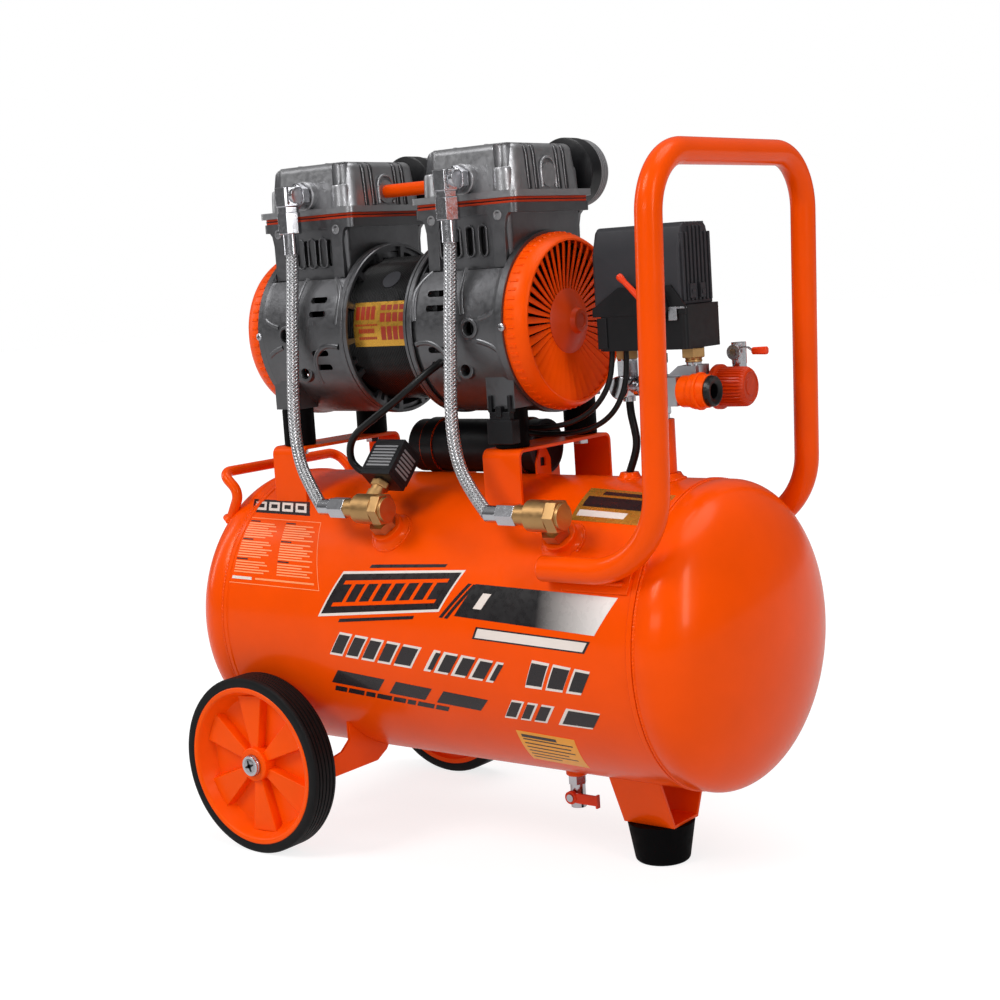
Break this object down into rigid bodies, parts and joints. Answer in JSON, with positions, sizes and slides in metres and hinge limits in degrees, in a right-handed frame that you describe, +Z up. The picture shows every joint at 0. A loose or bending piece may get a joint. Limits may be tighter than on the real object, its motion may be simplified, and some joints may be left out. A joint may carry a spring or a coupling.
{
  "type": "air compressor",
  "caption": "Portable oil-free air compressor: horizontal tank on wheels and a rubber foot, twin-cylinder pump with fan covers, pressure switch, regulator and push handle.",
  "frame": {"origin": "on the ground, below the middle of the tank", "axes": "+Z up, +X towards the push handle and switch, -Y the front with the check valves"},
  "size_m": [0.6036, 0.3166, 0.639],
  "materials": {
    "orange_paint": "glossy orange enamel",
    "black_casting": "satin black paint on a casting",
    "black_steel": "satin black paint",
    "black_plastic": "moulded, fine texture",
    "orange_plastic": "moulded, semi-gloss",
    "red_plastic": "dipped or moulded red",
    "chrome": "plated",
    "brass": "bare brass",
    "steel": "zinc plated",
    "aluminium": "cast, bare",
    "rubber": "matt black",
    "tyre": "matt black, ribbed",
    "braid": "stainless braid over a rubber hose",
    "cable": "black sheath",
    "gasket": "orange-red sheet",
    "grey_plastic": "moulded",
    "copper_core": "laminations and windings, hidden"
  },
  "bodies": {
    "frame": {"tank_barrel": "orange_paint", "tank_head_left": "orange_paint", "tank_head_right": "orange_paint", "tank_weldments": "orange_paint", "lift_handle": "orange_paint", "push_handle": "orange_paint", "pump_bridges": "orange_paint", "wheel_brackets": "orange_paint", "foot_bracket": "orange_paint", "chassis_bolts": "chrome", "rubber_foot": "rubber", "drain_valve": "chrome", "check_valve_left": "brass", "check_valve_right": "brass", "check_valve_caps": "brass", "solenoid_stem": "brass", "solenoid_coil": "black_plastic", "hose_left": "braid", "hose_right": "braid", "hose_fittings": "chrome", "crankcase_left": "black_casting", "crankcase_right": "black_casting", "cylinder_left": "black_casting", "cylinder_right": "black_casting", "head_gaskets": "gasket", "head_left": "black_casting", "head_right": "black_casting", "head_bolts": "steel", "crossover_pipe": "orange_paint", "air_filter_bases": "black_plastic", "air_filter_caps": "grey_plastic", "stator": "black_steel", "fan_cover_left": "orange_plastic", "fan_cover_right": "orange_plastic", "rubber_mounts": "rubber", "capacitor": "black_plastic", "capacitor_clamps": "orange_paint", "switch_base": "black_plastic", "switch_cover": "black_plastic", "pipe_fittings": "chrome", "riser_pipe": "orange_paint", "regulator_body": "aluminium", "coupler_body": "black_steel", "solenoid_cable": "cable", "switch_wire_near": "cable", "switch_wire_far": "cable", "unloader_hose": "cable"},
    "wheel_front": {"tyre_front": "tyre", "rim_front": "orange_plastic"},
    "wheel_rear": {"tyre_rear": "tyre", "rim_rear": "orange_plastic"},
    "rotor": {"rotor": "copper_core", "cooling_fans": "black_plastic"},
    "piston_left": {"piston_left": "aluminium"},
    "piston_right": {"piston_right": "aluminium"},
    "switch_lever": {"switch_lever": "red_plastic"},
    "regulator_knob": {"regulator_knob": "red_plastic"},
    "coupler_sleeve": {"coupler_sleeve": "orange_paint"},
    "outlet_valve_lever": {"outlet_valve_lever": "red_plastic"},
    "drain_lever": {"drain_lever": "red_plastic"}
  },
  "joints": [
    {"name": "wheel_front_spin", "type": "hinge", "parent": "frame", "child": "wheel_front", "pos_m": [-0.1839, -0.144, 0.0836], "axis": [0, 1, 0], "continuous": true},
    {"name": "wheel_rear_spin", "type": "hinge", "parent": "frame", "child": "wheel_rear", "pos_m": [-0.1839, 0.144, 0.0836], "axis": [0, 1, 0], "continuous": true},
    {"name": "rotor_spin", "type": "hinge", "parent": "frame", "child": "rotor", "pos_m": [-0.061, 0, 0.4767], "axis": [1, 0, 0], "continuous": true},
    {"name": "piston_left_slide", "type": "slide", "parent": "frame", "child": "piston_left", "axis": [0, 0, 1], "range_m": [-0.017, 0]},
    {"name": "piston_right_slide", "type": "slide", "parent": "frame", "child": "piston_right", "axis": [0, 0, 1], "range_m": [-0.017, 0]},
    {"name": "switch_lever_turn", "type": "hinge", "parent": "frame", "child": "switch_lever", "pos_m": [0.2017, -0.033, 0.4866], "axis": [0, 1, 0], "range_deg": [0, 60]},
    {"name": "regulator_knob_turn", "type": "hinge", "parent": "frame", "child": "regulator_knob", "pos_m": [0.245, 0.02, 0.4156], "axis": [1, 0, 0], "range_deg": [0, 300]},
    {"name": "coupler_sleeve_slide", "type": "slide", "parent": "frame", "child": "coupler_sleeve", "axis": [-1, 0, 0], "range_m": [0, 0.004], "stiffness_N_per_m": 800, "springref_m": -0.002},
    {"name": "outlet_valve_turn", "type": "hinge", "parent": "frame", "child": "outlet_valve_lever", "pos_m": [0.238, 0.036, 0.443], "axis": [0, 1, 0], "range_deg": [-90, 0]},
    {"name": "drain_valve_turn", "type": "hinge", "parent": "frame", "child": "drain_lever", "pos_m": [0.0756, -0.0105, 0.0466], "axis": [0, 1, 0], "range_deg": [0, 90]}
  ]
}
